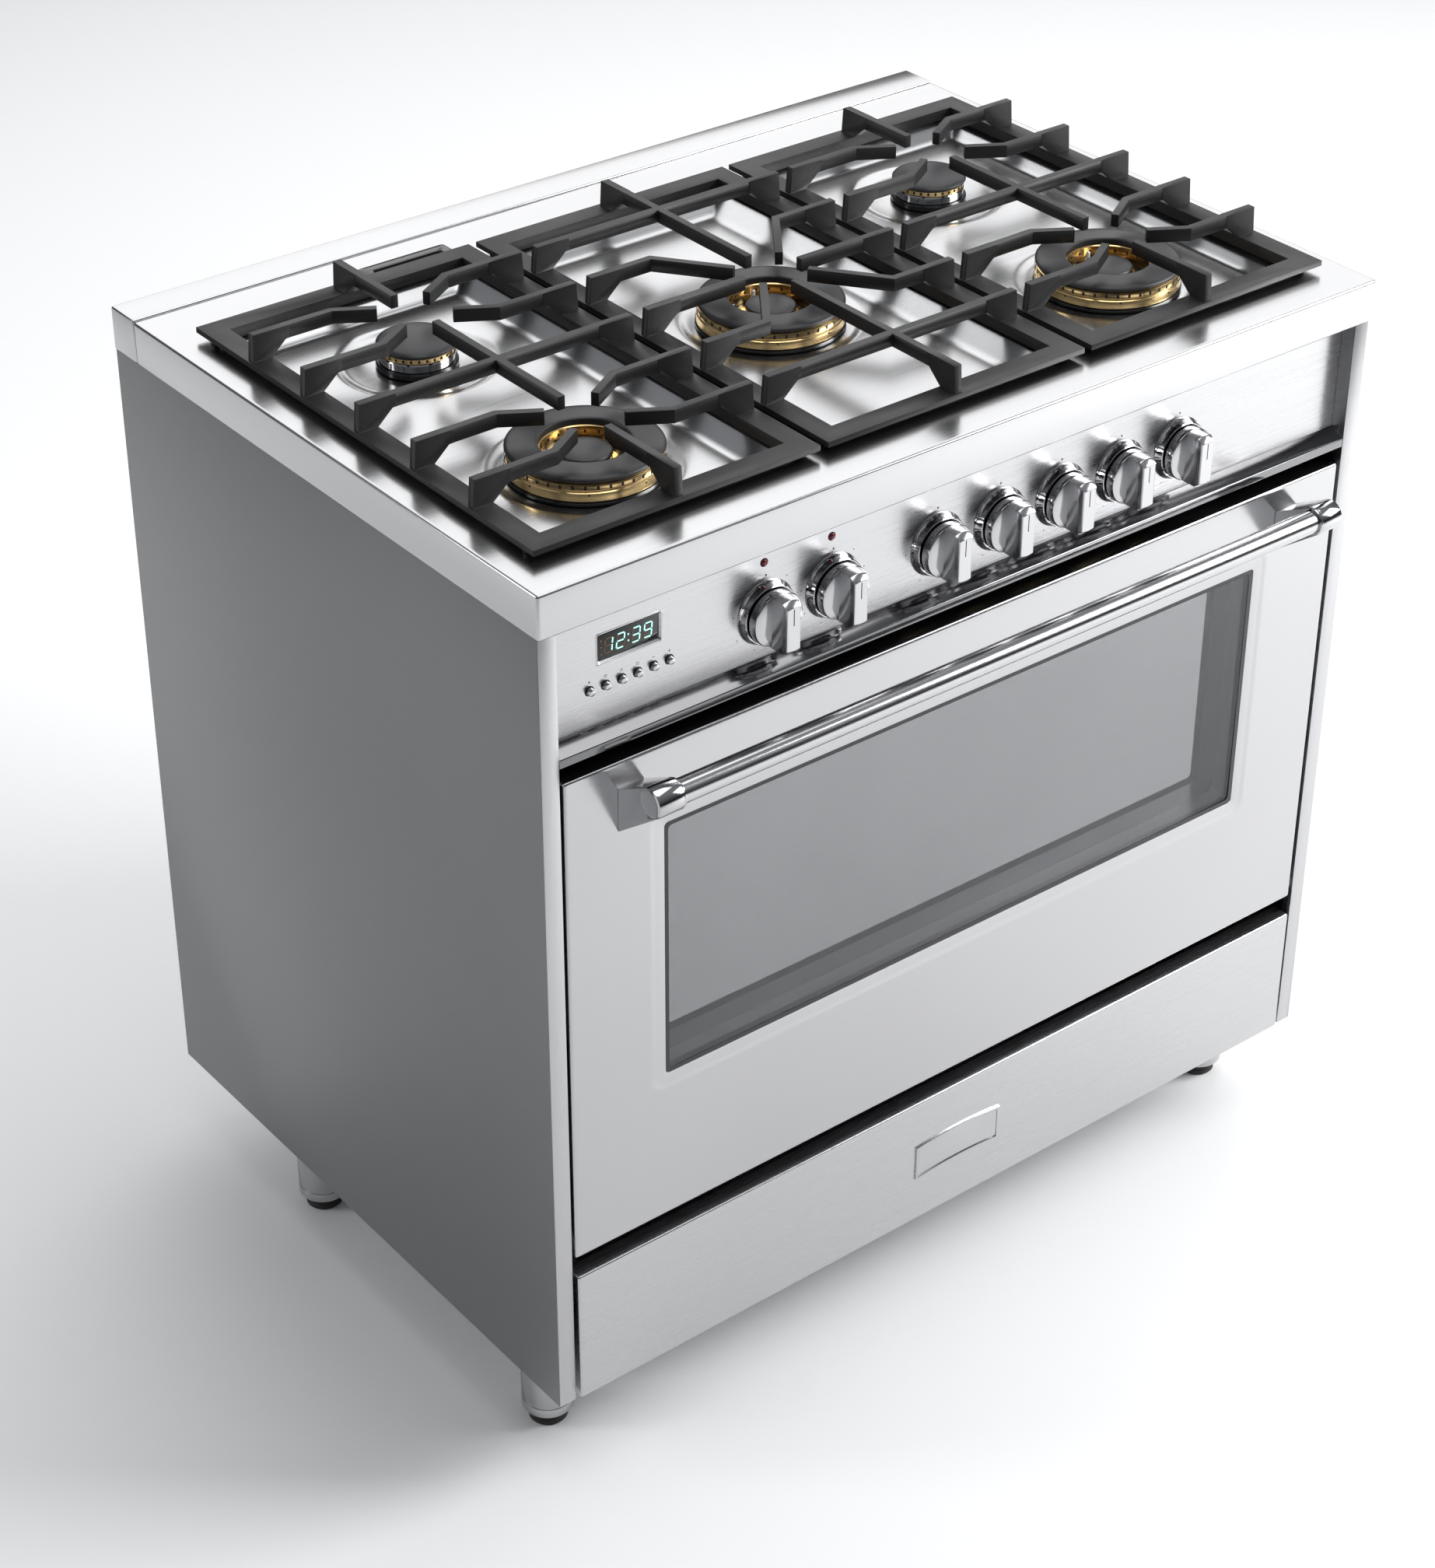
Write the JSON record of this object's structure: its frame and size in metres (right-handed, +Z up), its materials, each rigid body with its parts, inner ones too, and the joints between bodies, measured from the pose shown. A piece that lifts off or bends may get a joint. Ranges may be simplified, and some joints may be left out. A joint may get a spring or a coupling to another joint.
{
  "type": "freestanding gas range",
  "caption": "Freestanding gas range with cast-iron grates, sealed burners, knob panel, oven with drop-down glazed door and a storage drawer.",
  "frame": {"origin": "on the floor, in the middle of the range's width and of its depth over the door handle", "axes": "+Z up, +X to the right seen from the front, -Y out of the front"},
  "size_m": [0.911, 0.687, 0.9405],
  "materials": {
    "brushed_steel": "brushed",
    "polished_steel": "polished",
    "grey_paint": "satin",
    "galvanised_sheet": "galvanised, dull",
    "black_enamel": "gloss vitreous enamel",
    "cast_iron": "matt enamelled",
    "burner_brass": "machined",
    "chrome": "bright",
    "tinted_glass": "gloss, dark tint",
    "seal_rubber": "matt"
  },
  "bodies": {
    "range_body": {"cooktop": "brushed_steel", "rear_trim": "brushed_steel", "control_panel": "brushed_steel", "foot_front_left": "brushed_steel", "foot_front_right": "brushed_steel", "foot_rear_left": "brushed_steel", "foot_rear_right": "brushed_steel", "panel_ledge": "polished_steel", "side_panel_left": "grey_paint", "side_panel_right": "grey_paint", "back_panel": "galvanised_sheet", "base_pan": "galvanised_sheet", "door_hinge_left": "galvanised_sheet", "door_hinge_right": "galvanised_sheet", "oven_liner": "black_enamel", "fan_cover": "black_enamel", "oven_vent": "black_enamel", "burner_head_rear_left": "burner_brass", "burner_head_front_left": "burner_brass", "burner_head_centre": "burner_brass", "burner_head_rear_right": "burner_brass", "burner_head_front_right": "burner_brass", "gas_manifold": "burner_brass", "rack_guide_left": "chrome", "rack_guide_right": "chrome", "clock_window": "tinted_glass", "door_gasket": "seal_rubber"},
    "oven_door": {"door_panel": "brushed_steel", "door_glass": "tinted_glass", "door_liner": "black_enamel", "door_inner_glass": "tinted_glass", "door_handle": "polished_steel"},
    "storage_drawer": {"drawer_front": "brushed_steel", "drawer_box": "galvanised_sheet"},
    "grate_left_body": {"grate_left": "cast_iron"},
    "grate_middle_body": {"grate_middle": "cast_iron"},
    "grate_right_body": {"grate_right": "cast_iron"},
    "cap_rear_left_body": {"burner_cap_rear_left": "black_enamel"},
    "cap_front_left_body": {"burner_cap_front_left": "black_enamel"},
    "cap_centre_body": {"burner_cap_centre": "black_enamel"},
    "cap_rear_right_body": {"burner_cap_rear_right": "black_enamel"},
    "cap_front_right_body": {"burner_cap_front_right": "black_enamel"},
    "inner_cap_front_left_body": {"inner_cap_front_left": "black_enamel"},
    "inner_cap_centre_body": {"inner_cap_centre": "black_enamel"},
    "inner_cap_front_right_body": {"inner_cap_front_right": "black_enamel"},
    "function_knob": {"knob_1": "chrome"},
    "temperature_knob": {"knob_2": "chrome"},
    "burner_knob_front_left": {"knob_3": "chrome"},
    "burner_knob_rear_left": {"knob_4": "chrome"},
    "burner_knob_centre": {"knob_5": "chrome"},
    "burner_knob_rear_right": {"knob_6": "chrome"},
    "burner_knob_front_right": {"knob_7": "chrome"},
    "button_1_body": {"clock_button_1": "chrome"},
    "button_2_body": {"clock_button_2": "chrome"},
    "button_3_body": {"clock_button_3": "chrome"},
    "button_4_body": {"clock_button_4": "chrome"},
    "button_5_body": {"clock_button_5": "chrome"},
    "button_6_body": {"clock_button_6": "chrome"},
    "rack_body": {"oven_rack": "chrome"},
    "fan_body": {"convection_fan": "galvanised_sheet"}
  },
  "joints": [
    {"name": "oven_door_hinge", "type": "hinge", "parent": "range_body", "child": "oven_door", "pos_m": [0, -0.277, 0.2594], "axis": [1, 0, 0], "range_deg": [0, 90]},
    {"name": "drawer_slide", "type": "slide", "parent": "range_body", "child": "storage_drawer", "axis": [0, -1, 0], "range_m": [0, 0.36]},
    {"name": "grate_left_lift", "type": "slide", "parent": "range_body", "child": "grate_left_body", "axis": [0, 0, 1], "range_m": [0, 0.08]},
    {"name": "grate_middle_lift", "type": "slide", "parent": "range_body", "child": "grate_middle_body", "axis": [0, 0, 1], "range_m": [0, 0.08]},
    {"name": "grate_right_lift", "type": "slide", "parent": "range_body", "child": "grate_right_body", "axis": [0, 0, 1], "range_m": [0, 0.08]},
    {"name": "cap_rear_left_lift", "type": "slide", "parent": "range_body", "child": "cap_rear_left_body", "axis": [0, 0, 1], "range_m": [0, 0.009]},
    {"name": "cap_front_left_lift", "type": "slide", "parent": "range_body", "child": "cap_front_left_body", "axis": [0, 0, 1], "range_m": [0, 0.009]},
    {"name": "cap_centre_lift", "type": "slide", "parent": "range_body", "child": "cap_centre_body", "axis": [0, 0, 1], "range_m": [0, 0.009]},
    {"name": "cap_rear_right_lift", "type": "slide", "parent": "range_body", "child": "cap_rear_right_body", "axis": [0, 0, 1], "range_m": [0, 0.009]},
    {"name": "cap_front_right_lift", "type": "slide", "parent": "range_body", "child": "cap_front_right_body", "axis": [0, 0, 1], "range_m": [0, 0.009]},
    {"name": "inner_cap_front_left_lift", "type": "slide", "parent": "range_body", "child": "inner_cap_front_left_body", "axis": [0, 0, 1], "range_m": [0, 0.018]},
    {"name": "inner_cap_centre_lift", "type": "slide", "parent": "range_body", "child": "inner_cap_centre_body", "axis": [0, 0, 1], "range_m": [0, 0.018]},
    {"name": "inner_cap_front_right_lift", "type": "slide", "parent": "range_body", "child": "inner_cap_front_right_body", "axis": [0, 0, 1], "range_m": [0, 0.018]},
    {"name": "function_knob_turn", "type": "hinge", "parent": "range_body", "child": "function_knob", "pos_m": [-0.2225, -0.2813, 0.801], "axis": [0, 1, 0], "range_deg": [0, 315]},
    {"name": "temperature_knob_turn", "type": "hinge", "parent": "range_body", "child": "temperature_knob", "pos_m": [-0.153, -0.2813, 0.801], "axis": [0, 1, 0], "range_deg": [0, 280]},
    {"name": "burner_knob_front_left_turn", "type": "hinge", "parent": "range_body", "child": "burner_knob_front_left", "pos_m": [-0.0415, -0.2813, 0.801], "axis": [0, -1, 0], "range_deg": [0, 210]},
    {"name": "burner_knob_rear_left_turn", "type": "hinge", "parent": "range_body", "child": "burner_knob_rear_left", "pos_m": [0.028, -0.2813, 0.801], "axis": [0, -1, 0], "range_deg": [0, 210]},
    {"name": "burner_knob_centre_turn", "type": "hinge", "parent": "range_body", "child": "burner_knob_centre", "pos_m": [0.0975, -0.2813, 0.801], "axis": [0, -1, 0], "range_deg": [0, 210]},
    {"name": "burner_knob_rear_right_turn", "type": "hinge", "parent": "range_body", "child": "burner_knob_rear_right", "pos_m": [0.167, -0.2813, 0.801], "axis": [0, -1, 0], "range_deg": [0, 210]},
    {"name": "burner_knob_front_right_turn", "type": "hinge", "parent": "range_body", "child": "burner_knob_front_right", "pos_m": [0.2365, -0.2813, 0.801], "axis": [0, -1, 0], "range_deg": [0, 210]},
    {"name": "clock_button_1_press", "type": "slide", "parent": "range_body", "child": "button_1_body", "axis": [0, 1, 0], "range_m": [0, 0.0015], "stiffness_N_per_m": 400, "springref_m": -0.0015},
    {"name": "clock_button_2_press", "type": "slide", "parent": "range_body", "child": "button_2_body", "axis": [0, 1, 0], "range_m": [0, 0.0015], "stiffness_N_per_m": 400, "springref_m": -0.0015},
    {"name": "clock_button_3_press", "type": "slide", "parent": "range_body", "child": "button_3_body", "axis": [0, 1, 0], "range_m": [0, 0.0015], "stiffness_N_per_m": 400, "springref_m": -0.0015},
    {"name": "clock_button_4_press", "type": "slide", "parent": "range_body", "child": "button_4_body", "axis": [0, 1, 0], "range_m": [0, 0.0015], "stiffness_N_per_m": 400, "springref_m": -0.0015},
    {"name": "clock_button_5_press", "type": "slide", "parent": "range_body", "child": "button_5_body", "axis": [0, 1, 0], "range_m": [0, 0.0015], "stiffness_N_per_m": 400, "springref_m": -0.0015},
    {"name": "clock_button_6_press", "type": "slide", "parent": "range_body", "child": "button_6_body", "axis": [0, 1, 0], "range_m": [0, 0.0015], "stiffness_N_per_m": 400, "springref_m": -0.0015},
    {"name": "rack_slide", "type": "slide", "parent": "range_body", "child": "rack_body", "axis": [0, -1, 0], "range_m": [0, 0.015]},
    {"name": "fan_spin", "type": "hinge", "parent": "range_body", "child": "fan_body", "pos_m": [0, 0.2435, 0.4984], "axis": [0, 1, 0], "continuous": true}
  ]
}
